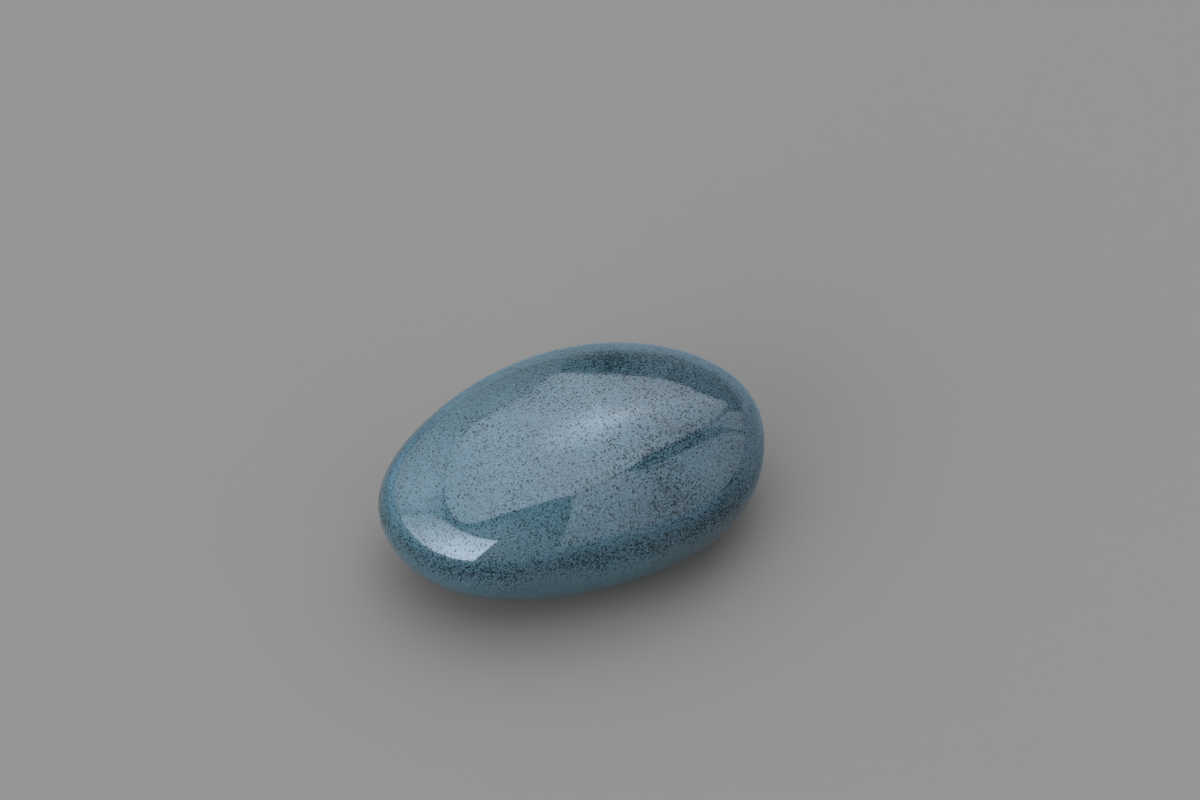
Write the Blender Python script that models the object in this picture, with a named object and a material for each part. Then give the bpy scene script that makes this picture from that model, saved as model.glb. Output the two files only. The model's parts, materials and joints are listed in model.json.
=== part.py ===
"""Pebble-shaped keepsake urn: a hollow ceramic body, filled through its foot, and the rubber stopper
that closes it. Metres, +Z up. The foot stands on Z = 0 with the origin under the middle of the body's
box, and +X runs along the pebble to its taller, narrower end.
"""

import math

import bmesh
import bpy
import numpy as np

# Outside of the body
LENGTH = 0.115
WIDTH = 0.081
HEIGHT = 0.050

# Ceramic
WALL = 0.004
LEDGE_THICKNESS = 0.0034

# Filling hole, and the seat round it that the stopper's flange lies in
HOLE_RADIUS = 0.012
SEAT_WIDTH = 0.004
MOUTH_CHAMFER = 0.0006

# Stopper
FLANGE_THICKNESS = 0.0018
STOPPER_RECESS = 0.0005
BARREL_LENGTH = 0.010
BARREL_TAPER = 0.0012
STOPPER_CHAMFER = 0.0004
DISH_DEPTH = 0.0007
DISH_RIM = 0.004
CLEARANCE = 0.0003

# Free form of the pebble, as shares of its own size. Each swell is a number of lobes round the plan,
# with its strength along X and across it.
SWELLS = ((2, 0.0, 0.012), (3, -0.020, -0.008), (5, 0.016, 0.009))
SHOULDER = 0.015
CROWN = 0.08
TALL_END = 0.05
FOOT_DEPTH = 0.87

# Fineness of the facets
BODY_CELLS = 18
CAVITY_CELLS = 14
SIZING_CELLS = 48
TURNED_STEPS = 48
SHARP_ANGLE = math.radians(35)
CUTTER_MARGIN = 0.001

# Heights and radii that follow from the values above
SEAT_RADIUS = HOLE_RADIUS + SEAT_WIDTH
SEAT_HEIGHT = STOPPER_RECESS + FLANGE_THICKNESS + CLEARANCE
FLOOR_HEIGHT = SEAT_HEIGHT + LEDGE_THICKNESS


def clear_scene():
    for found in list(bpy.data.objects):
        bpy.data.objects.remove(found)


def material(name, colour, roughness, metallic):
    made = bpy.data.materials.new(name)
    made.use_nodes = True
    made.diffuse_color = (*colour, 1)
    shader = made.node_tree.nodes["Principled BSDF"]
    shader.inputs["Base Color"].default_value = (*colour, 1)
    shader.inputs["Roughness"].default_value = roughness
    shader.inputs["Metallic"].default_value = metallic
    return made


def add_object(name, mesh, shading=None):
    """The named object of a finished bmesh, shaded smooth, which is freed."""
    bmesh.ops.recalc_face_normals(mesh, faces=mesh.faces[:])
    data = bpy.data.meshes.new(name)
    mesh.to_mesh(data)
    mesh.free()
    data.shade_smooth()
    data.set_sharp_from_angle(angle=SHARP_ANGLE)
    if shading:
        data.materials.append(shading)
    made = bpy.data.objects.new(name, data)
    bpy.context.scene.collection.objects.link(made)
    return made


def hide_cutter(cutter):
    cutter.hide_render = True
    cutter.display_type = "WIRE"


def cut(target, cutter):
    hide_cutter(cutter)
    boolean = target.modifiers.new(cutter.name, "BOOLEAN")
    boolean.operation = "DIFFERENCE"
    boolean.solver = "EXACT"
    boolean.object = cutter


def ball(cells):
    """A unit ball made from a cube, with cells by cells faces on each of the cube's sides."""
    mesh = bmesh.new()
    bmesh.ops.create_cube(mesh, size=2)
    bmesh.ops.subdivide_edges(mesh, edges=mesh.edges[:], cuts=cells - 1, use_grid_fill=True)
    for vert in mesh.verts:
        for axis in range(3):
            vert.co[axis] = math.tan(vert.co[axis] * math.pi / 4)
        vert.co.normalize()
    return mesh


def places(mesh):
    return np.array([tuple(vert.co) for vert in mesh.verts])


def free_form(directions):
    """The pebble before it is sized: each point of a unit ball, moved by swells, shoulder and crown."""
    x, y, z = directions.T
    plan = x + 1j * y
    swell = np.ones(len(x))
    for lobes, along, across in SWELLS:
        lobe = plan**lobes
        swell += along * lobe.real + across * lobe.imag
    shoulder = 1 + SHOULDER * 4 * z**2 * (1 - z**2)
    rise = z * (1 + CROWN * z) * (1 + TALL_END * x)
    return np.column_stack((x * swell * shoulder, y * swell * shoulder, rise * shoulder))


def sizing():
    """The point of the free form that goes to the origin, and the three factors that size its box."""
    mesh = ball(SIZING_CELLS)
    points = free_form(places(mesh))
    mesh.free()
    low = points.min(axis=0)
    high = points.max(axis=0)
    foot = FOOT_DEPTH * low[2]
    origin = np.array([(low[0] + high[0]) / 2, (low[1] + high[1]) / 2, foot])
    box = np.array([high[0] - low[0], high[1] - low[1], high[2] - foot])
    return origin, np.array([LENGTH, WIDTH, HEIGHT]) / box


def pebble(cells):
    """The whole pebble at its real size, with its underside still round."""
    origin, factors = sizing()
    mesh = ball(cells)
    for vert, place in zip(mesh.verts, (free_form(places(mesh)) - origin) * factors):
        vert.co = place
    mesh.normal_update()
    return mesh


def cut_flat(mesh, height):
    """Cuts away all that is below this height and closes the cut with one flat face."""
    everything = mesh.verts[:] + mesh.edges[:] + mesh.faces[:]
    bmesh.ops.bisect_plane(
        mesh, geom=everything, plane_co=(0, 0, height), plane_no=(0, 0, 1), clear_inner=True
    )
    rim = [edge for edge in mesh.edges if edge.is_boundary]
    bmesh.ops.holes_fill(mesh, edges=rim, sides=0)


def turned(profile):
    """A closed shape turned round Z from (radius, height) points that start and end on the axis."""
    mesh = bmesh.new()
    verts = [mesh.verts.new((radius, 0, height)) for radius, height in profile]
    edges = [mesh.edges.new(pair) for pair in zip(verts, verts[1:])]
    bmesh.ops.spin(
        mesh, geom=verts + edges, cent=(0, 0, 0), axis=(0, 0, 1), angle=math.tau, steps=TURNED_STEPS
    )
    bmesh.ops.remove_doubles(mesh, verts=mesh.verts[:], dist=1e-6)
    return mesh


def cavity_mesh():
    """The space inside: the pebble moved in by the wall, with a flat floor over the foot."""
    mesh = pebble(CAVITY_CELLS)
    inside = [vert.co - vert.normal * WALL for vert in mesh.verts]
    for vert, place in zip(mesh.verts, inside):
        vert.co = place
    cut_flat(mesh, FLOOR_HEIGHT)
    return mesh


def filling_hole_mesh():
    """What is cut from the foot: a chamfered mouth, the seat for the flange, and the hole above it."""
    below = -CUTTER_MARGIN
    above = FLOOR_HEIGHT + CUTTER_MARGIN
    return turned(
        [
            (0, below),
            (SEAT_RADIUS + MOUTH_CHAMFER + CUTTER_MARGIN, below),
            (SEAT_RADIUS, MOUTH_CHAMFER),
            (SEAT_RADIUS, SEAT_HEIGHT),
            (HOLE_RADIUS, SEAT_HEIGHT),
            (HOLE_RADIUS, above),
            (0, above),
        ]
    )


def make_body():
    glaze = material("blue_green_glaze", (0.045, 0.095, 0.120), 0.12, 0.0)
    outside = pebble(BODY_CELLS)
    cut_flat(outside, 0)
    body = add_object("body", outside, glaze)
    cut(body, add_object("cavity", cavity_mesh()))
    cut(body, add_object("filling_hole", filling_hole_mesh()))


def make_stopper():
    """A flange that lies in the seat, shallowly dished so that a nail lifts it, and a tapered barrel."""
    rubber = material("dark_rubber", (0.025, 0.026, 0.028), 0.65, 0.0)
    face = STOPPER_RECESS
    shelf = face + FLANGE_THICKNESS
    tip = shelf + BARREL_LENGTH
    flange_radius = SEAT_RADIUS - CLEARANCE
    barrel_radius = HOLE_RADIUS - CLEARANCE
    tip_radius = barrel_radius - BARREL_TAPER
    dish_radius = flange_radius - DISH_RIM
    profile = [
        (0, face + DISH_DEPTH),
        (dish_radius - DISH_DEPTH, face + DISH_DEPTH),
        (dish_radius, face),
        (flange_radius - STOPPER_CHAMFER, face),
        (flange_radius, face + STOPPER_CHAMFER),
        (flange_radius, shelf),
        (barrel_radius, shelf),
        (tip_radius, tip - STOPPER_CHAMFER),
        (tip_radius - STOPPER_CHAMFER, tip),
        (0, tip),
    ]
    add_object("stopper", turned(profile), rubber)


clear_scene()
make_body()
make_stopper()
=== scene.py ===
# %% [markdown]
# # A pebble urn under a speckled glaze
#
# This lesson dresses one small object: a keepsake urn for ashes, cast in clay in the shape of a
# river pebble and glazed a speckled blue-green. Two pieces make it up: the hollow body, and the
# rubber stopper that closes the filling hole in its foot.
#
# The construction model is loaded first and gives every size. It stays where it is.

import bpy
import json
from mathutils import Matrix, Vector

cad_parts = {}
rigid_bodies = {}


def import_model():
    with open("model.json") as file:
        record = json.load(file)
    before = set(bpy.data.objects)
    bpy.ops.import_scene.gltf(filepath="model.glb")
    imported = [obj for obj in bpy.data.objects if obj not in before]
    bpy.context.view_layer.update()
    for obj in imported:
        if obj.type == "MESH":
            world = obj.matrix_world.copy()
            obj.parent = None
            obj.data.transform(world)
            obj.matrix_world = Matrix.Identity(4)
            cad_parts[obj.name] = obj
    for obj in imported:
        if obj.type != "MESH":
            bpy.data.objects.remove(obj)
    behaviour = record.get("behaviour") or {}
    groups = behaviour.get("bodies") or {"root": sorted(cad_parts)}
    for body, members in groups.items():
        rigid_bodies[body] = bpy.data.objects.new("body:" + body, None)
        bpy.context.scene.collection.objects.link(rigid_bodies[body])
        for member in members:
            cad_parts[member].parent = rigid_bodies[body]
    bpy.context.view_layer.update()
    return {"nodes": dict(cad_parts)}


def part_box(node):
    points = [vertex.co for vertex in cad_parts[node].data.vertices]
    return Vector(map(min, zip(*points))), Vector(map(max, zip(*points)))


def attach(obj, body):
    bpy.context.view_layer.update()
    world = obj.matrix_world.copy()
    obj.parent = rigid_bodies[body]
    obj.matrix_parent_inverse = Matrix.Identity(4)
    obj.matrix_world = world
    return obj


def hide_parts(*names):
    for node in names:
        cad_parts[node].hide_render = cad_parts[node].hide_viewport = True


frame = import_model()

# %% Tools for the lesson
import json
import math

import bpy
import numpy as np
from mathutils import Vector
from mathutils.bvhtree import BVHTree

MM = 0.001


def deselect_all():
    for found in bpy.context.view_layer.objects:
        found.select_set(False)


def edit(piece):
    """Opens a piece in edit mode with all of it selected, and nothing else selected beside it."""
    deselect_all()
    piece.select_set(True)
    bpy.context.view_layer.objects.active = piece
    bpy.ops.object.mode_set(mode="EDIT")
    bpy.ops.mesh.select_all(action="SELECT")


def done():
    bpy.ops.object.mode_set(mode="OBJECT")


def apply(piece, kind, settings):
    """Adds a modifier of this kind, sets it and applies it."""
    bpy.context.view_layer.objects.active = piece
    modifier = piece.modifiers.new(kind.lower(), kind)
    for name, value in settings.items():
        setattr(modifier, name, value)
    bpy.ops.object.modifier_apply(modifier=modifier.name)


def points_of(mesh):
    flat = np.empty(len(mesh.vertices) * 3)
    mesh.vertices.foreach_get("co", flat)
    return flat.reshape(-1, 3)


def move_points(mesh, points):
    mesh.vertices.foreach_set("co", points.ravel())
    mesh.update()


print("tools ready")

# %% [markdown]
# ## The form of the pebble
#
# A pebble has no drawing: it is a ball, worn flatter above and below, with broad swells round it.
# It could be sculpted by hand, but then the foot, the wall and the construction model would never
# agree. A short formula does the same work and gives a surface without a single kink, and a glossy
# glaze shows every kink there is.
#
# Each swell below is a number of lobes round the plan, with its strength along the pebble and
# across it. The shoulder fills out the slopes, the crown lifts the top, and one end is the taller.
# The whole is then stretched to the box of the construction model, and cut flat at the foot.

# %% Write the form down
SWELLS = ((2, 0.0, 0.012), (3, -0.020, -0.008), (5, 0.016, 0.009))
SHOULDER = 0.015
CROWN = 0.08
TALL_END = 0.05


def free_form(directions):
    """The pebble before it is sized: each point of a unit ball, moved by swells, shoulder and crown."""
    x, y, z = directions.T
    plan = x + 1j * y
    swell = np.ones(len(x))
    for lobes, along, across in SWELLS:
        lobe = plan**lobes
        swell += along * lobe.real + across * lobe.imag
    shoulder = 1 + SHOULDER * 4 * z**2 * (1 - z**2)
    rise = z * (1 + CROWN * z) * (1 + TALL_END * x)
    return np.column_stack((x * swell * shoulder, y * swell * shoulder, rise * shoulder))


print("swells of", [lobes for lobes, _, _ in SWELLS], "lobes")

# %% Shape a ball into the pebble
BODY_CELLS = 96
FOOT_DEPTH = 0.87
BOX_LOW, BOX_HIGH = (np.array(corner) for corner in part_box("body"))


def cube_of_cells(name, cells):
    """A cube from -1 to 1, with cells by cells faces on each of its sides."""
    deselect_all()
    bpy.ops.mesh.primitive_cube_add(size=2)
    piece = bpy.context.object
    piece.name = name
    edit(piece)
    bpy.ops.mesh.subdivide(number_cuts=cells - 1)
    done()
    return piece


def ball_directions(mesh):
    """Where the points of a cube land on a unit ball, evenly spread."""
    spread = np.tan(points_of(mesh) * math.pi / 4)
    return spread / np.linalg.norm(spread, axis=1)[:, None]


def sizing():
    """The low and high corners of the free form's box, from the height where the foot is cut."""
    sample = cube_of_cells("sizing_sample", BODY_CELLS)
    points = free_form(ball_directions(sample.data))
    bpy.data.objects.remove(sample)
    low = points.min(axis=0)
    low[2] *= FOOT_DEPTH
    return low, points.max(axis=0)


FORM_LOW, FORM_HIGH = sizing()


def pebble(name, cells):
    """The whole pebble, stretched to the construction model's box, with its underside still round."""
    piece = cube_of_cells(name, cells)
    share = (free_form(ball_directions(piece.data)) - FORM_LOW) / (FORM_HIGH - FORM_LOW)
    move_points(piece.data, BOX_LOW + share * (BOX_HIGH - BOX_LOW))
    return piece


body = pebble("urn_body", BODY_CELLS)
print("whole pebble:", len(body.data.polygons), "faces")

# %% Cut the foot flat
CUT_PRECISION = 0.0001 * MM


def cut_flat(piece, height):
    """Cuts away all that is below this height and closes the cut with one flat face."""
    edit(piece)
    bpy.ops.mesh.bisect(
        plane_co=(0, 0, height),
        plane_no=(0, 0, 1),
        use_fill=True,
        clear_inner=True,
        threshold=CUT_PRECISION,
    )
    done()


cut_flat(body, 0)
print("outside of the body:", len(body.data.polygons), "faces")

# %% [markdown]
# ## The hollow inside, and the hole in the foot
#
# The real body is slip-cast: liquid clay is poured into a plaster mould, and what doesn't set
# against the plaster is poured out again. So the wall has one thickness all round. A Solidify
# modifier would give such a wall too, but the floor over the foot is flat and thicker, so here a
# coarser copy of the pebble is shrunk along its normals, cut flat and taken out of the body.
#
# The filling hole is turned on a lathe in the leather-hard clay: a rounded mouth, a seat for the
# stopper's flange, and the hole itself. The cutter for it is a disc, extruded and scaled ring by
# ring, as by hand. Where the cut leaves two points a hair apart, they are merged.

# %% Hollow the body out
WALL = 4.0 * MM
LEDGE_THICKNESS = 3.4 * MM
CLEARANCE = 0.3 * MM
HOLE_RADIUS = 12.0 * MM
FLANGE_THICKNESS = 1.8 * MM
CAVITY_CELLS = 40
stopper_low, stopper_high = (Vector(corner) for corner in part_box("stopper"))
FLANGE_RADIUS = stopper_high.x
SEAT_RADIUS = FLANGE_RADIUS + CLEARANCE
SEAT_HEIGHT = stopper_low.z + FLANGE_THICKNESS + CLEARANCE
FLOOR_HEIGHT = SEAT_HEIGHT + LEDGE_THICKNESS


def take_out(piece, cutter):
    apply(piece, "BOOLEAN", {"operation": "DIFFERENCE", "solver": "EXACT", "object": cutter})
    bpy.data.objects.remove(cutter)


cavity = pebble("cavity", CAVITY_CELLS)
edit(cavity)
bpy.ops.transform.shrink_fatten(value=-WALL)
done()
cut_flat(cavity, FLOOR_HEIGHT)
inner = points_of(cavity.data)
print("space inside, size in mm:", ((inner.max(axis=0) - inner.min(axis=0)) / MM).round(1))
take_out(body, cavity)

# %% Set up the lathe
TURNED_SEGMENTS = 128


def turned(name, rings):
    """A closed solid from (radius, height) rings: a disc, extruded and scaled from ring to ring."""
    deselect_all()
    radius, height = rings[0]
    bpy.ops.mesh.primitive_circle_add(
        vertices=TURNED_SEGMENTS, radius=radius, fill_type="NGON", location=(0, 0, height)
    )
    piece = bpy.context.object
    piece.name = name
    bpy.ops.object.transform_apply(location=True)
    edit(piece)
    for next_radius, next_height in rings[1:]:
        step = (0, 0, next_height - height)
        bpy.ops.mesh.extrude_region_move(TRANSFORM_OT_translate={"value": step})
        factor = next_radius / radius
        bpy.ops.transform.resize(value=(factor, factor, 1), center_override=(0, 0, next_height))
        radius, height = next_radius, next_height
    bpy.ops.mesh.select_all(action="SELECT")
    bpy.ops.mesh.normals_make_consistent(inside=False)
    done()
    return piece


print("lathe with", TURNED_SEGMENTS, "segments to a turn")

# %% Turn the filling hole
MOUTH_ROUNDING = 0.6 * MM
MOUTH_STEPS = 5
CUTTER_MARGIN = 1.0 * MM
WELD = 0.001 * MM


def mouth_rings():
    """The rounded mouth: a quarter round between the foot and the seat's wall."""
    centre_radius = SEAT_RADIUS + MOUTH_ROUNDING
    rings = []
    for step in range(MOUTH_STEPS + 1):
        turn = step / MOUTH_STEPS * math.pi / 2
        radius = centre_radius - MOUTH_ROUNDING * math.sin(turn)
        rings.append((radius, MOUTH_ROUNDING * (1 - math.cos(turn))))
    return rings


hole_rings = [
    (SEAT_RADIUS + MOUTH_ROUNDING, -CUTTER_MARGIN),
    *mouth_rings(),
    (SEAT_RADIUS, SEAT_HEIGHT),
    (HOLE_RADIUS, SEAT_HEIGHT),
    (HOLE_RADIUS, FLOOR_HEIGHT + CUTTER_MARGIN),
]
take_out(body, turned("filling_hole", hole_rings))
edit(body)
bpy.ops.mesh.remove_doubles(threshold=WELD)
done()
print("hollow body:", len(body.data.polygons), "faces")


# %% Compare the fine body with the construction model
def widest_gap(piece, node_name):
    """The furthest that a point of the piece lies from the construction model's node, in mm."""
    mesh = frame["nodes"][node_name].data
    places = [vert.co.copy() for vert in mesh.vertices]
    tree = BVHTree.FromPolygons(places, [tuple(face.vertices) for face in mesh.polygons])
    widest = max(tree.find_nearest(vert.co)[3] for vert in piece.data.vertices)
    return round(widest / MM, 3)


print("fine body lies within", widest_gap(body, "body"), "mm of the construction model")

# %% [markdown]
# ## The stopper
#
# A soft rubber plug: a thin flange that lies in the seat, dished so that a nail can lift it, and a
# tapered barrel. It is turned ring by ring like the hole, and a Bevel modifier rounds the edges that
# a rubber mould leaves soft.

# %% Turn the stopper
BARREL_TAPER = 1.2 * MM
DISH_DEPTH = 0.7 * MM
DISH_RIM = 4.0 * MM
RUBBER_ROUNDING = 0.35 * MM
ROUNDING_STEPS = 4
SHARP_TURN = math.radians(25)


def stopper_rings():
    """From the middle of the dish, out over the flange's rim and up the barrel to its tip."""
    face = stopper_low.z
    shelf = face + FLANGE_THICKNESS
    barrel_radius = HOLE_RADIUS - CLEARANCE
    dish_radius = FLANGE_RADIUS - DISH_RIM
    return [
        (dish_radius - DISH_DEPTH, face + DISH_DEPTH),
        (dish_radius, face),
        (FLANGE_RADIUS, face),
        (FLANGE_RADIUS, shelf),
        (barrel_radius, shelf),
        (barrel_radius - BARREL_TAPER, stopper_high.z),
    ]


soft_edges = {
    "width": RUBBER_ROUNDING,
    "segments": ROUNDING_STEPS,
    "limit_method": "ANGLE",
    "angle_limit": SHARP_TURN,
}
stopper = turned("rubber_stopper", stopper_rings())
apply(stopper, "BEVEL", soft_edges)
stopper_gap = widest_gap(stopper, "stopper")
print("stopper:", len(stopper.data.polygons), "faces, within", stopper_gap, "mm")

# %% [markdown]
# ## Shader maths as plain expressions
#
# A node tree for a glaze has dozens of Math nodes, and wiring them one by one hides the idea. So a
# small class wraps a socket: adding or multiplying two of them adds the Math node. Every other node
# comes from one method, which takes its type, its settings and what goes into its sockets.


# %% Wrap a socket
class Value:
    """A number on a socket. Sums and products with it add Math nodes."""

    def __init__(self, finish, socket):
        self.finish = finish
        self.socket = socket

    def __add__(self, other):
        return self.finish.maths("ADD", self, other)

    def __sub__(self, other):
        return self.finish.maths("SUBTRACT", self, other)

    def __mul__(self, other):
        return self.finish.maths("MULTIPLY", self, other)

    def __rsub__(self, other):
        return self.finish.maths("SUBTRACT", other, self)

    def __abs__(self):
        return self.finish.node("ShaderNodeMath", {"operation": "ABSOLUTE"}, {0: self})

    __radd__ = __add__
    __rmul__ = __mul__


print("sockets add, subtract and multiply")

# %% Wrap a material
# The Mix node uses its socket names more than once, so its colour sockets go by number.
MIX_FIRST = 6
MIX_SECOND = 7
MIX_RESULT = 2


class Finish:
    """One material on Object coordinates, measured in millimetres."""

    def __init__(self, name, **constants):
        self.material = bpy.data.materials.new(name)
        self.material.use_nodes = True
        self.tree = self.material.node_tree
        self.shader = self.tree.nodes["Principled BSDF"]
        for socket, value in constants.items():
            self.shader.inputs[socket.replace("_", " ")].default_value = value
        coordinates = self.node("ShaderNodeTexCoord", output="Object")
        self.place = self.node(
            "ShaderNodeVectorMath", {"operation": "SCALE"}, {"Vector": coordinates, "Scale": 1 / MM}
        )
        parts = self.node("ShaderNodeSeparateXYZ", inputs={"Vector": self.place}).socket.node.outputs
        self.along, self.across, self.height = (Value(self, part) for part in parts)

    def node(self, kind, settings=None, inputs=None, output=0):
        """Adds a node of this type, set and with its sockets filled, and gives one of its outputs."""
        made = self.tree.nodes.new(kind)
        for name, value in (settings or {}).items():
            setattr(made, name, value)
        for name, value in (inputs or {}).items():
            self.feed(made.inputs[name], value)
        return Value(self, made.outputs[output])

    def feed(self, socket, value):
        if isinstance(value, Value):
            self.tree.links.new(value.socket, socket)
        else:
            socket.default_value = value

    def maths(self, operation, first, second):
        return self.node("ShaderNodeMath", {"operation": operation}, {0: first, 1: second})

    def mix(self, factor, first, second):
        """The first colour where the factor is 0, the second where it is 1."""
        inputs = {0: factor, MIX_FIRST: first, MIX_SECOND: second}
        return self.node("ShaderNodeMix", {"data_type": "RGBA"}, inputs, output=MIX_RESULT)

    def moved(self, offset):
        """The place, moved by so many millimetres, so that two patterns of one size differ."""
        return self.node("ShaderNodeVectorMath", {"operation": "ADD"}, {0: self.place, 1: offset})

    def noise(self, size, detail=2.0, roughness=0.5, offset=(0, 0, 0)):
        """Cloudy values round 0.5, whose patches are about this many millimetres wide."""
        inputs = {"Vector": self.moved(offset), "Scale": 1 / size, "Detail": detail}
        return self.node("ShaderNodeTexNoise", inputs={**inputs, "Roughness": roughness})

    def cells(self, size, offset=(0, 0, 0)):
        """Millimetres to the nearest of many scattered points, and that point's random number."""
        inputs = {"Vector": self.moved(offset), "Scale": 1 / size}
        distance = self.node("ShaderNodeTexVoronoi", inputs=inputs, output="Distance")
        colour = Value(self, distance.socket.node.outputs["Color"])
        lot = self.node("ShaderNodeSeparateColor", inputs={"Color": colour})
        return distance * size, lot

    def band(self, value, start, end):
        """0 where the value is at start, 1 at end, softly between; end may be the lower one."""
        inputs = {"Value": value, "From Min": start, "From Max": end}
        return self.node("ShaderNodeMapRange", {"interpolation_type": "SMOOTHSTEP"}, inputs)

    def bump(self, height, distance, strength=1.0, normal=None):
        inputs = {"Height": height, "Distance": distance, "Strength": strength}
        if normal:
            inputs["Normal"] = normal
        return self.node("ShaderNodeBump", inputs=inputs)

    def finish(self, **sockets):
        """Feeds what varies into the shader: colour, roughness, coat or normal."""
        for socket, value in sockets.items():
            self.feed(self.shader.inputs[socket.replace("_", " ")], value)
        return self.material


print("shader tools ready")

# %% [markdown]
# ## Bare clay and rubber
#
# Glaze melts in the kiln and would stick to the shelf, so the potter wipes the foot clean. There the
# clay shows, buff and dry with fine dark grains, and so it does inside, where no glaze was poured.
# The same look is laid on the foot by the glaze's own material, so it is a function of its own.
#
# The stopper's rubber is nearly black. A paler bloom lies over it in patches, and its mould left a
# fine grain. One flat colour would do for so small a piece, but not from close by.

# %% Mix the bare clay
CLAY = (0.46, 0.39, 0.30, 1)
STAINED_CLAY = (0.36, 0.29, 0.21, 1)
DARK_GRAIN = (0.17, 0.12, 0.08, 1)
GRAIN_SIZE = 0.5
GRAIN_BAND = (0.60, 0.75)
GRAIN_SHARE = 0.6
STAIN_SIZE = 9
STAIN_BAND = (0.40, 0.72)
CLAY_ROUGHNESS = 0.70
GRAIN_ROUGHNESS = 0.2
CLAY_RELIEF = 0.05 * MM


def clay_look(finish):
    """Colour, roughness and grain of unglazed clay."""
    grain = finish.noise(GRAIN_SIZE, detail=4, roughness=0.65)
    stain = finish.noise(STAIN_SIZE, detail=3, offset=(3, 8, 1))
    colour = finish.mix(finish.band(stain, *STAIN_BAND), CLAY, STAINED_CLAY)
    colour = finish.mix(finish.band(grain, *GRAIN_BAND) * GRAIN_SHARE, colour, DARK_GRAIN)
    return colour, CLAY_ROUGHNESS + grain * GRAIN_ROUGHNESS, grain


def bare_clay():
    finish = Finish("bare_buff_clay")
    colour, roughness, grain = clay_look(finish)
    normal = finish.bump(grain, CLAY_RELIEF)
    return finish.finish(Base_Color=colour, Roughness=roughness, Normal=normal)


clay_material = bare_clay()
print("clay nodes:", len(clay_material.node_tree.nodes))

# %% Mix the rubber
RUBBER = (0.022, 0.023, 0.025, 1)
RUBBER_BLOOM = (0.055, 0.055, 0.058, 1)
BLOOM_SIZE = 6
BLOOM_BAND = (0.4, 0.8)
RUBBER_ROUGHNESS = 0.50
BLOOM_ROUGHNESS = 0.25
RUBBER_GRAIN_SIZE = 0.35
RUBBER_RELIEF = 0.03 * MM


def rubber():
    finish = Finish("dark_moulded_rubber")
    bloom = finish.noise(BLOOM_SIZE, detail=4, offset=(2, 4, 6))
    grain = finish.noise(RUBBER_GRAIN_SIZE, detail=2)
    colour = finish.mix(finish.band(bloom, *BLOOM_BAND), RUBBER, RUBBER_BLOOM)
    roughness = RUBBER_ROUGHNESS + bloom * BLOOM_ROUGHNESS
    normal = finish.bump(grain, RUBBER_RELIEF)
    return finish.finish(Base_Color=colour, Roughness=roughness, Normal=normal)


rubber_material = rubber()
print("rubber nodes:", len(rubber_material.node_tree.nodes))

# %% [markdown]
# ## The glaze
#
# The glaze is coloured by metal oxides under a glassy skin. Three things show from close by: broad
# clouds where it runs from teal to slate blue, a fine restless mottle of lighter and darker threads,
# and thousands of iron specks, most of them less than half a millimetre wide. Towards the back it
# turns sea green. The specks crowd in a belt round the pebble's side, in patches and in a few
# clusters on top, and they thin out below the belt.
#
# The colour could be painted into an image, but procedural noise needs no seams and stays sharp at
# any distance. Voronoi cells scatter the specks: each cell's middle is one speck, and the cell's own
# random number sets how wide it grows. The colour itself is matt, and a clear coat over it gives all
# the gloss, a little less of it on the large specks.
#
# Just above the foot the glaze was wiped by hand, so its edge wanders: there it is thin and rusty,
# and below that the bare clay begins. Lengths and places in these cells are in millimetres.

# %% Say where the glaze changes
TEAL_END = -45
SLATE_END = 45
FRONT_SIDE = -15
BACK_SIDE = 35
GREEN_BEGINS = -40
GREEN_FULL = 5
BELT_HEIGHT = 24.3
BELT_HALF_WIDTH = 4.0
BELT_HEART = 0.5
BELT_DROP = 2
BELT_FOOT = 16


def glaze_zones(finish):
    """From 0 to 1: slate end over teal end, sea-green back, speck belt, and the zone below the belt."""
    to_slate = finish.band(finish.along, TEAL_END, SLATE_END)
    to_back = finish.band(finish.across, FRONT_SIDE, BACK_SIDE)
    green = to_back * finish.band(finish.along, GREEN_BEGINS, GREEN_FULL)
    off_belt = abs(finish.height - BELT_HEIGHT)
    belt = finish.band(off_belt, BELT_HALF_WIDTH, BELT_HEART)
    below = finish.band(finish.height, BELT_HEIGHT - BELT_DROP, BELT_FOOT)
    return to_slate, green, belt, below


print("speck belt at a height of", BELT_HEIGHT, "mm")

# %% Scatter the iron specks
PATCH_SIZE = 15
PATCH_BAND = (0.35, 0.68)
CROWDING = 0.22
CROWDING_IN_PATCHES = 0.35
CROWDING_TO_SLATE = 0.25
CROWDING_IN_BELT = 0.44
CROWDING_AT_BACK = 0.05
THINNING_BELOW = 0.65
CLUSTERS = [((17, 9, 48), 11), ((9, -26, 43), 7), ((23, -24, 42), 7), ((12, -35, 36), 11)]
CROWDING_IN_CLUSTERS = 0.55
SPECK_LUCK = 0.9
SPECK_GROWTH = 0.6
SPECK_LOSS = 0.12
SPECK_SOFTNESS = 0.05


def speck_crowding(finish, to_slate, green, belt, below):
    """How thickly the specks lie at each place."""
    patches = finish.noise(PATCH_SIZE, detail=3, offset=(40, 10, 5))
    crowding = finish.band(patches, *PATCH_BAND) * CROWDING_IN_PATCHES + to_slate * CROWDING_TO_SLATE
    crowding = crowding + belt * CROWDING_IN_BELT + CROWDING
    crowding = crowding + green * CROWDING_AT_BACK - below * THINNING_BELOW
    for centre, radius in CLUSTERS:
        ends = {0: finish.place, 1: centre}
        away = finish.node("ShaderNodeVectorMath", {"operation": "DISTANCE"}, ends, "Value")
        crowding = crowding + finish.band(away, radius, 0) * CROWDING_IN_CLUSTERS
    return crowding


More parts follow.
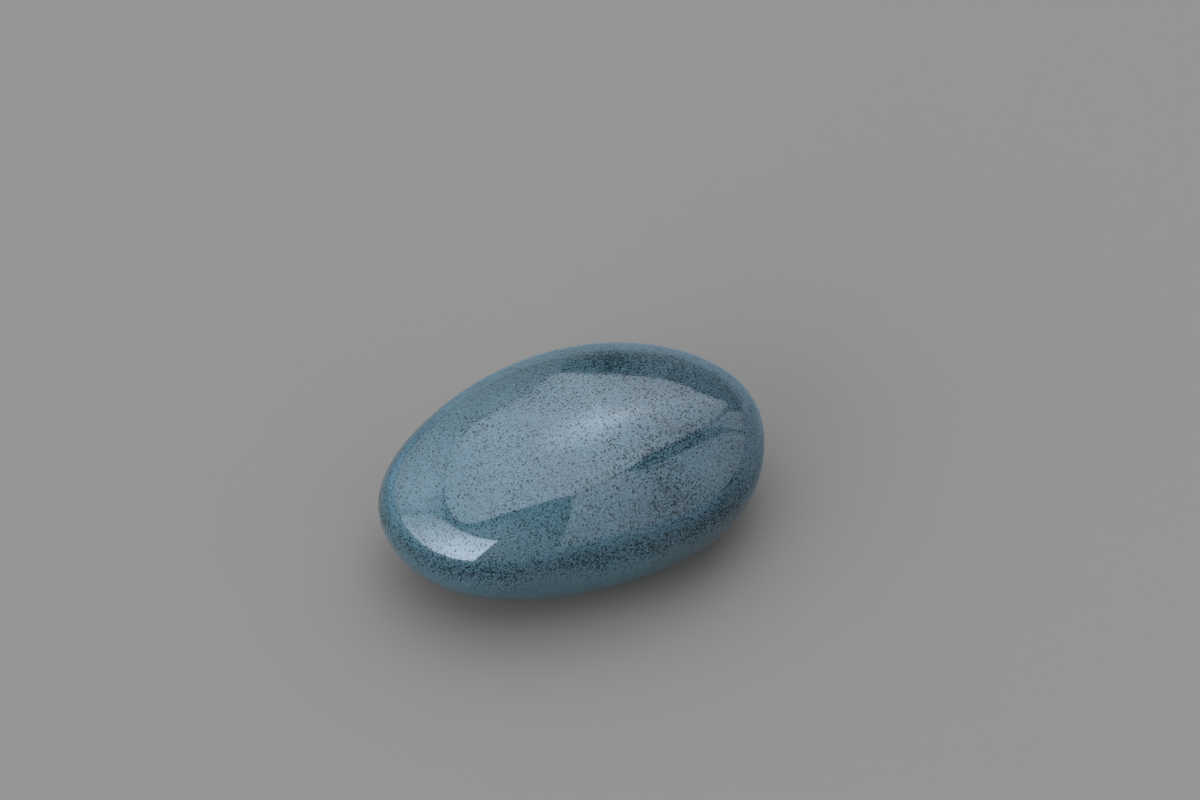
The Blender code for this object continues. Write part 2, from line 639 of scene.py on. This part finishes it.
def iron_specks(finish, spacing, radius, crowding, offset):
    """Round specks, 1 at their middle: each has its own width, and they grow larger where crowded."""
    distance, lot = finish.cells(spacing, offset=offset)
    reach = (lot * SPECK_LUCK + crowding * SPECK_GROWTH - SPECK_LOSS) * radius
    return finish.band(distance - reach, SPECK_SOFTNESS, -SPECK_SOFTNESS)


print(len(CLUSTERS), "clusters of specks")

# %% Colour the glaze
TEAL = (0.037, 0.076, 0.089, 1)
SLATE = (0.036, 0.063, 0.075, 1)
SEA_GREEN = (0.031, 0.058, 0.059, 1)
DEEP = (0.006, 0.018, 0.024, 1)
PALE = (0.088, 0.145, 0.162, 1)
IRON = (0.000, 0.006, 0.009, 1)
CLOUD_SIZE = 24
CLOUD_DRIFT = 0.30
CLOUD_BAND = (0.35, 0.65)
GREEN_SHARE = 0.8
MOTTLE_SIZE = 0.22
DEEP_THREADS = (0.50, 0.39)
PALE_THREADS = (0.52, 0.67)
THREAD_SHARE = 0.60
THREADS_LOST_BELOW = 0.3
SPECK_SPACING = 0.78
SPECK_RADIUS = 0.302
SMALL_SPECK_SPACING = 0.44
SMALL_SPECK_RADIUS = 0.218
SMALL_SPECK_SHARE = 0.9
IRON_SHARE = 0.92


def glaze_colour(finish):
    """The colour of the glaze, and its large specks."""
    to_slate, green, belt, below = glaze_zones(finish)
    clouds = finish.noise(CLOUD_SIZE, detail=3) + (to_slate - 0.5) * CLOUD_DRIFT
    tint = finish.mix(finish.band(clouds, *CLOUD_BAND), TEAL, SLATE)
    tint = finish.mix(green * GREEN_SHARE, tint, SEA_GREEN)
    mottle = finish.noise(MOTTLE_SIZE, detail=2, roughness=0.6)
    threads = THREAD_SHARE - below * THREADS_LOST_BELOW
    tint = finish.mix(finish.band(mottle, *DEEP_THREADS) * threads, tint, DEEP)
    tint = finish.mix(finish.band(mottle, *PALE_THREADS) * threads, tint, PALE)
    crowding = speck_crowding(finish, to_slate, green, belt, below)
    large = iron_specks(finish, SPECK_SPACING, SPECK_RADIUS, crowding, (0, 0, 0))
    small = iron_specks(finish, SMALL_SPECK_SPACING, SMALL_SPECK_RADIUS, crowding, (7, 3, 1))
    specks = finish.maths("MAXIMUM", large, small * SMALL_SPECK_SHARE)
    return finish.mix(specks * IRON_SHARE, tint, IRON), large


print("specks", SPECK_SPACING, "and", SMALL_SPECK_SPACING, "mm apart")

# %% Wipe the foot and coat the glaze
GLASSY_SKIN = {"Specular_IOR_Level": 0, "Coat_IOR": 1.5, "Coat_Roughness": 0.07}
RUST = (0.130, 0.070, 0.035, 1)
RUST_SHARE = 0.8
RUST_BEGINS = 0.7
RUST_FULL = 0.1
GLAZE_LINE = 0.55
GLAZE_LINE_WANDER = 0.9
WANDER_SIZE = 5
GLAZE_EDGE = 0.08
GLAZE_THICKNESS = 0.12 * MM
FOOT_GRAIN_STRENGTH = 0.6
SPECK_MATTNESS = 0.50


def glaze():
    finish = Finish("speckled_blue_green_glaze", **GLASSY_SKIN)
    coat, large = glaze_colour(finish)
    wander = finish.noise(WANDER_SIZE, detail=3, offset=(12, 2, 30)) - 0.5
    above = finish.height - wander * GLAZE_LINE_WANDER
    rusty = finish.band(above, GLAZE_LINE + RUST_BEGINS, GLAZE_LINE + RUST_FULL)
    coat = finish.mix(rusty * RUST_SHARE, coat, RUST)
    bare, roughness, grain = clay_look(finish)
    covered = finish.band(above, GLAZE_LINE - GLAZE_EDGE, GLAZE_LINE + GLAZE_EDGE)
    colour = finish.mix(covered, bare, coat)
    gloss = covered * (1 - large * SPECK_MATTNESS)
    step = finish.bump(covered, GLAZE_THICKNESS)
    normal = finish.bump((1 - covered) * grain, CLAY_RELIEF, FOOT_GRAIN_STRENGTH, normal=step)
    return finish.finish(Base_Color=colour, Roughness=roughness, Coat_Weight=gloss, Normal=normal)


glaze_material = glaze()
print("glaze nodes:", len(glaze_material.node_tree.nodes))

# %% [markdown]
# ## Lay the finishes on the pieces
#
# The potter glazes the outside only, so the body has two finishes: glaze outside and above the foot,
# and bare clay everywhere else. The faces could be picked by hand, but their place and the way that
# they look tell them apart, and the model may still change. Both pieces are shaded smooth, except
# over their sharp edges.

# %% Dress the body and the stopper
FLAT_FOOT = 0.01 * MM
HOLE_EDGE = 2 * MOUTH_ROUNDING


def outside_faces(piece):
    """Marks each face that is glazed: those on the pebble's outside, above the foot."""
    mesh = piece.data
    normals = np.empty(len(mesh.polygons) * 3)
    centres = np.empty(len(mesh.polygons) * 3)
    mesh.polygons.foreach_get("normal", normals)
    mesh.polygons.foreach_get("center", centres)
    normals = normals.reshape(-1, 3)
    centres = centres.reshape(-1, 3)
    middle = (BOX_LOW + BOX_HIGH) / 2
    outwards = ((centres - middle) * normals).sum(axis=1) > 0
    from_axis = np.hypot(centres[:, 0], centres[:, 1])
    height = centres[:, 2]
    in_hole = (from_axis < SEAT_RADIUS + HOLE_EDGE) & (height < FLOOR_HEIGHT + CUTTER_MARGIN)
    return outwards & (height > FLAT_FOOT) & ~in_hole


body.data.materials.clear()
body.data.materials.append(glaze_material)
body.data.materials.append(clay_material)
glazed = outside_faces(body)
body.data.polygons.foreach_set("material_index", np.where(glazed, 0, 1).astype(np.int32))
stopper.data.materials.clear()
stopper.data.materials.append(rubber_material)
for piece in (body, stopper):
    deselect_all()
    piece.select_set(True)
    bpy.context.view_layer.objects.active = piece
    bpy.ops.object.shade_smooth_by_angle(angle=SHARP_TURN)
print("glazed faces:", int(glazed.sum()), "bare faces:", int((~glazed).sum()))

# %% Tie the pieces to the construction model
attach(body, "root")
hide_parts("body")
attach(stopper, "root")
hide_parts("stopper")
print(body.name, "and", stopper.name, "stand for the construction model's pieces")

# %% [markdown]
# ## Floor, camera and light
#
# A glossy pebble is a mirror, so most of what the eye reads as its look is the studio round it: a
# broad scrim overhead, a bright softbox low on the left with a haze of light round it, a dim panel
# and a strip on the right, a dim wall behind, and the floor's own gleam. Lamps would light the
# pebble as well, but only a card has a shape that the glaze can mirror, so each of these is a
# glowing card here, placed by the direction that it has from the urn, and hidden from the camera.
#
# The floor reflects nothing itself, so two flat cards just over it show the glaze a floor that
# gleams, and leave the floor as it is. One more card lights the back softly without a reflection.
# Past the floor's edge the camera sees a plain wall.

# %% Set the camera
PITCH_DOWN = math.radians(39)
HEADING = math.radians(27.2)
EYE_HEIGHT = 0.4155
URN_AWAY = 0.4559
URN_LEFT = 0.0068
FOCAL_LENGTH = 64.5
SENSOR_WIDTH = 36.0


def from_picture(right, away, up):
    """A point given by metres to the picture's right, away from the camera and up, from the urn."""
    return Vector(
        (
            right * math.cos(HEADING) + away * math.sin(HEADING),
            -right * math.sin(HEADING) + away * math.cos(HEADING),
            up,
        )
    )


lens = bpy.data.cameras.new("camera")
lens.sensor_width = SENSOR_WIDTH
lens.lens = FOCAL_LENGTH
camera = bpy.data.objects.new("camera", lens)
camera.location = from_picture(URN_LEFT, -URN_AWAY, EYE_HEIGHT)
camera.rotation_euler = (math.pi / 2 - PITCH_DOWN, 0, -HEADING)
bpy.context.scene.collection.objects.link(camera)
bpy.context.scene.camera = camera
bpy.context.scene.view_settings.view_transform = "Standard"
print("camera at", tuple(round(value, 3) for value in camera.location))

# %% Lay the floor
FLOOR_SIZE = 80
FLOOR_GAP = 0.02 * MM
FLOOR_COLOUR = (0.135, 0.125, 0.111, 1)
FLOOR_ROUGHNESS = 0.9

deselect_all()
bpy.ops.mesh.primitive_plane_add(size=FLOOR_SIZE, location=(0, 0, -FLOOR_GAP))
floor = bpy.context.object
floor.name = "floor"
floor_finish = Finish(
    "pale_floor", Base_Color=FLOOR_COLOUR, Roughness=FLOOR_ROUGHNESS, Specular_IOR_Level=0
)
floor.data.materials.append(floor_finish.material)
print("floor", FLOOR_SIZE, "m wide, a hair below the foot")


# %% Make a material glow
def glowing(name, colour, strength):
    """A material that only glows: as strongly as its points' glow times the strength."""
    material = bpy.data.materials.new(name)
    material.use_nodes = True
    nodes = material.node_tree.nodes
    links = material.node_tree.links
    nodes.remove(nodes["Principled BSDF"])
    glow = nodes.new("ShaderNodeAttribute")
    glow.attribute_name = "glow"
    gain = nodes.new("ShaderNodeMath")
    gain.operation = "MULTIPLY"
    gain.inputs[1].default_value = strength
    emission = nodes.new("ShaderNodeEmission")
    emission.inputs["Color"].default_value = colour
    links.new(glow.outputs["Fac"], gain.inputs[0])
    links.new(gain.outputs[0], emission.inputs["Strength"])
    links.new(emission.outputs[0], nodes["Material Output"].inputs["Surface"])
    return material


print("glow comes from the points of a card")

# %% Place a card by its directions
CARD_DISTANCE = 9.0
COOL_WHITE = (0.83, 0.89, 1.0, 1)
SKY_WHITE = (0.77, 0.865, 1.0, 1)


def aim(azimuth, elevation):
    """A point in that direction from the urn: azimuth runs anticlockwise from the picture's right."""
    turn = math.radians(azimuth)
    rise = math.radians(elevation)
    flat = CARD_DISTANCE * math.cos(rise)
    return from_picture(flat * math.cos(turn), flat * math.sin(turn), CARD_DISTANCE * math.sin(rise))


def spots(row):
    """A row of (azimuth, elevation, glow) as places with their glow."""
    return [(aim(azimuth, elevation), glow) for azimuth, elevation, glow in row]


def card(name, strength, rows, colour=COOL_WHITE):
    """A glowing sheet between rows of equally many (place, glow) spots."""
    width = len(rows[0])
    points = [point for row in rows for point in row]
    corners = [row * width + place for row in range(len(rows) - 1) for place in range(width - 1)]
    faces = [(corner, corner + 1, corner + width + 1, corner + width) for corner in corners]
    mesh = bpy.data.meshes.new(name)
    mesh.from_pydata([place for place, _ in points], [], faces)
    layer = mesh.attributes.new("glow", "FLOAT", "POINT")
    layer.data.foreach_set("value", [glow for _, glow in points])
    mesh.materials.append(glowing(name, colour, strength))
    made = bpy.data.objects.new(name, mesh)
    bpy.context.scene.collection.objects.link(made)
    made.visible_camera = False
    print(name, len(mesh.polygons), "faces, strength", strength)
    return made


def hang(name, strength, colour, rows):
    """A card given by rows of (azimuth, elevation, glow)."""
    return card(name, strength, [spots(row) for row in rows], colour)


print("cards hang", CARD_DISTANCE, "m from the urn")

# %% Hang the overhead scrim
SCRIM_STRENGTH = 4.1
SCRIM_MIDDLE = (72, 63, 1.84)
SCRIM_EDGE = [
    (98, 20, 0.40),
    (91, 28, 0.46),
    (79, 31, 0.46),
    (62, 28.5, 0.46),
    (56, 28, 0.42),
    (50, 22, 0.38),
    (46, 13.6, 0.34),
    (36, 25, 0.30),
    (27, 37, 0.38),
    (17.5, 47.5, 0.50),
    (8, 55, 0.64),
    (358, 58.5, 0.82),
    (346, 60, 0.86),
    (325, 60.5, 0.86),
    (308, 59.5, 0.86),
    (298, 59, 0.86),
    (285, 61, 0.86),
    (270, 60, 0.86),
    (254, 58, 0.82),
    (239, 51, 0.80),
    (226, 46, 0.76),
    (215, 45, 0.72),
    (204, 46, 0.70),
    (190, 47.5, 0.68),
    (167, 47, 0.66),
    (151, 46, 0.66),
    (135, 40, 0.66),
    (122, 34, 0.60),
    (112, 35, 0.54),
    (104, 31, 0.46),
]
RING_SHARE = 0.35
RING_GLOW = 0.94


def fan(middle, edge):
    """Rows from a hot middle spot over an even ring to the edge."""
    [(heart, heart_glow)] = spots([middle])
    rim = spots([*edge, edge[0]])
    ring = [(heart.lerp(place, RING_SHARE), RING_GLOW) for place, _ in rim]
    return [[(heart, heart_glow)] * len(rim), ring, rim]


card("overhead_scrim", SCRIM_STRENGTH, fan(SCRIM_MIDDLE, SCRIM_EDGE))

# %% Hang the softbox on the left
SOFTBOX_STRENGTH = 8.7
SOFTBOX_ROWS = [
    [
        (172, 1, 0.34), (188, 1, 0.52), (206, 1, 0.78),
        (222, 1, 1.00), (237, 1, 1.15), (250, 1, 1.15),
    ],
    [
        (177, 14, 0.30), (194, 14, 0.52), (210, 14, 0.83),
        (225, 14, 1.06), (240, 14, 1.20), (255, 15, 1.20),
    ],
    [
        (183, 25, 0.30), (198, 26, 0.48), (212, 26, 0.74),
        (226, 26, 0.97), (242, 25, 1.05), (258, 23, 1.05),
    ],
    [
        (190, 34, 0.28), (201, 39, 0.36), (214, 39, 0.48),
        (228, 38, 0.62), (243, 35, 0.78), (261, 30, 0.88),
    ],
]

hang("left_softbox", SOFTBOX_STRENGTH, COOL_WHITE, SOFTBOX_ROWS)

# %% Hang the haze on the left and in front
LEFT_HAZE_STRENGTH = 2.5
LEFT_HAZE_ROWS = [
    [
        (97, 1, 0.15), (105, 1, 0.19), (114, 1, 0.22), (123, 1, 0.25), (134, 1, 0.38),
        (147, 1, 0.45), (160, 1, 0.52), (167, 1, 0.55), (172, 1, 0.58),
    ],
    [
        (97, 11, 0.15), (106, 13, 0.23), (114, 14, 0.28), (123, 14, 0.30), (133, 14, 0.50),
        (145, 14, 0.64), (157, 14, 0.78), (167, 13, 0.76), (177, 13, 0.58),
    ],
    [
        (97, 16, 0.18), (106, 20, 0.28), (114, 23, 0.34), (124, 23, 0.44), (134, 23, 0.70),
        (146, 24, 0.75), (159, 22, 1.00), (170, 21, 1.02), (183, 24, 0.62),
    ],
    [
        (97, 18, 0.20), (105.5, 26, 0.38), (114, 29, 0.46), (124, 29, 0.50), (135, 31, 0.68),
        (148, 33, 0.95), (163, 31, 1.16), (176, 30, 1.10), (190, 33, 0.68),
    ],
    [
        (97, 19, 0.22), (105, 29, 0.42), (113, 33, 0.54), (123, 31.5, 0.56), (135, 36, 0.76),
        (149, 40, 0.95), (166, 39, 1.18), (179, 37, 0.80), (197, 37, 0.48),
    ],
    [
        (97, 20, 0.26), (104, 30.7, 0.46), (112, 34.8, 0.56), (122, 33.8, 0.66), (135, 39.8, 0.88),
        (151, 45.8, 0.92), (167, 46.8, 0.92), (179, 46.3, 0.70), (203, 41, 0.38),
    ],
]
FRONT_HAZE_STRENGTH = 1.2
FRONT_HAZE_ROWS = [
    [(251, 1, 1.00), (261, 1, 0.90), (271, 1, 0.80), (280, 1, 0.75), (289, 1, 0.65)],
    [(259, 18, 1.00), (265, 18, 0.90), (273, 18, 0.75), (281, 18, 0.60), (290, 18, 0.45)],
    [(262, 31, 1.10), (267, 33, 1.00), (273, 34, 0.70), (281, 35, 0.42), (290.5, 36, 0.25)],
    [(244, 36.5, 1.20), (256, 42, 1.10), (268, 46, 0.50), (280, 51, 0.25), (291, 53, 0.25)],
    [(228, 39.5, 1.00), (240, 46, 0.60), (255, 53, 0.35), (272, 56, 0.25), (291, 56, 0.25)],
]

hang("left_haze", LEFT_HAZE_STRENGTH, COOL_WHITE, LEFT_HAZE_ROWS)
hang("front_haze", FRONT_HAZE_STRENGTH, SKY_WHITE, FRONT_HAZE_ROWS)

# %% Hang the panel and the strip on the right
PANEL_STRENGTH = 1.55
PANEL_ROWS = [
    [
        (290, 0, 1.1), (303, 0, 1.2), (314, 0, 0.8), (328, 0, 0.8),
        (342, 0, 0.75), (356, 0, 0.75), (15, 0, 0.6), (33, 0, 0.6),
    ],
    [
        (292, 28, 1.3), (304, 30, 1.3), (316, 30, 1.15), (330, 30, 0.90),
        (345, 29, 1.0), (0, 25, 1.1), (12, 20, 0.95), (29, 12, 0.7),
    ],
    [
        (298, 58.3, 1.7), (310, 58.8, 1.9), (325, 59.8, 1.9), (336, 59.6, 1.5),
        (340, 54.5, 1.0), (356, 49.5, 1.05), (15, 37, 0.9), (25, 23, 0.75),
    ],
]
STRIP_STRENGTH = 1.2
STRIP_ROWS = [
    [(27.5, 34, 0.9), (29.5, 24, 1.0), (30, 14, 1.0), (32, 7, 0.9), (34, 1, 0.6)],
    [(28.5, 35, 0.9), (34, 26, 1.0), (40.5, 17, 1.0), (42, 9, 0.9), (44, 1, 0.6)],
]

hang("right_panel", PANEL_STRENGTH, SKY_WHITE, PANEL_ROWS)
hang("right_strip", STRIP_STRENGTH, SKY_WHITE, STRIP_ROWS)

# %% Hang the dim wall behind
WALL_STRENGTH = 1.0
WALL_ROWS = [
    [(97, 0, 0.42), (86, 0, 0.36), (76, 0, 0.34), (66, 0, 0.28), (55, 0, 0.26)],
    [(97, 6, 0.27), (86, 6, 0.24), (76, 6, 0.32), (66, 6, 0.20), (55, 6, 0.18)],
    [(97, 12, 0.06), (86, 12, 0.05), (76, 12, 0.26), (66, 12, 0.14), (52, 12, 0.08)],
    [(97, 20, 0.08), (88, 27, 0.00), (78, 29, 0.08), (64, 27, 0.22), (51, 19, 0.08)],
]

hang("dim_wall", WALL_STRENGTH, COOL_WHITE, WALL_ROWS)

# %% Fill in the back softly
BACK_FILL_STRENGTH = 1.0
BACK_FILL_AZIMUTHS = (150, 125, 100, 80, 60)
BACK_FILL_ELEVATIONS = (4, 24, 44)

back_fill_rows = []
for elevation in BACK_FILL_ELEVATIONS:
    back_fill_rows.append([(azimuth, elevation, 1.0) for azimuth in BACK_FILL_AZIMUTHS])
back_fill = hang("back_fill", BACK_FILL_STRENGTH, COOL_WHITE, back_fill_rows)
back_fill.visible_glossy = False
back_fill.visible_shadow = False

# %% Let the floor gleam round the urn
FRONT_BLUE = (0.50, 0.80, 1.10, 1)
BACK_BLUE = (0.60, 0.81, 1.0, 1)
GLEAM_HEIGHT = 1.0 * MM
GLEAM_STRENGTH = 1.05
FRONT_AZIMUTHS = [125, 140, 160, 180, 200, 220, 240, 260, 280, 300, 320, 340, 355]
FRONT_GLEAM = [(0.13, 0.24), (0.20, 0.52), (0.32, 0.90), (0.9, 1.05), (8.5, 1.15)]
BACK_AZIMUTHS = [-5, 10, 25, 40, 55, 70, 85, 100, 115, 125]
BACK_GLEAM = [(0.065, 0.26), (0.10, 0.42), (0.3, 0.60), (8.5, 0.60)]
GLEAM_AT_ENDS = 0.37


def floor_gleam(name, colour, azimuths, rows):
    """A flat card just over the floor, in rings of (radius, glow), that only reflections show."""
    ends = (azimuths[0], azimuths[-1])
    rings = []
    for radius, glow in rows:
        ring = []
        for azimuth in azimuths:
            turn = math.radians(azimuth)
            place = from_picture(radius * math.cos(turn), radius * math.sin(turn), GLEAM_HEIGHT)
            ring.append((place, GLEAM_AT_ENDS if azimuth in ends else glow))
        rings.append(ring)
    gleam = card(name, GLEAM_STRENGTH, rings, colour)
    gleam.visible_diffuse = False
    gleam.visible_shadow = False


floor_gleam("front_floor_gleam", FRONT_BLUE, FRONT_AZIMUTHS, FRONT_GLEAM)
floor_gleam("back_floor_gleam", BACK_BLUE, BACK_AZIMUTHS, BACK_GLEAM)

# %% Fill the room with a dim even light
ROOM_LIGHT = 0.10
ROOM_COLOUR = (0.93, 0.97, 1.0, 1)
WALL_GREY = 0.36

world = bpy.data.worlds.new("room")
world.use_nodes = True
room_nodes = world.node_tree.nodes
background = room_nodes["Background"]
background.inputs["Color"].default_value = ROOM_COLOUR
seen_directly = room_nodes.new("ShaderNodeLightPath").outputs["Is Camera Ray"]
level = room_nodes.new("ShaderNodeMapRange")
level.inputs["To Min"].default_value = ROOM_LIGHT
level.inputs["To Max"].default_value = WALL_GREY
world.node_tree.links.new(seen_directly, level.inputs["Value"])
world.node_tree.links.new(level.outputs["Result"], background.inputs["Strength"])
bpy.context.scene.world = world
print("room light", ROOM_LIGHT, "and behind the urn a plain wall of", WALL_GREY)
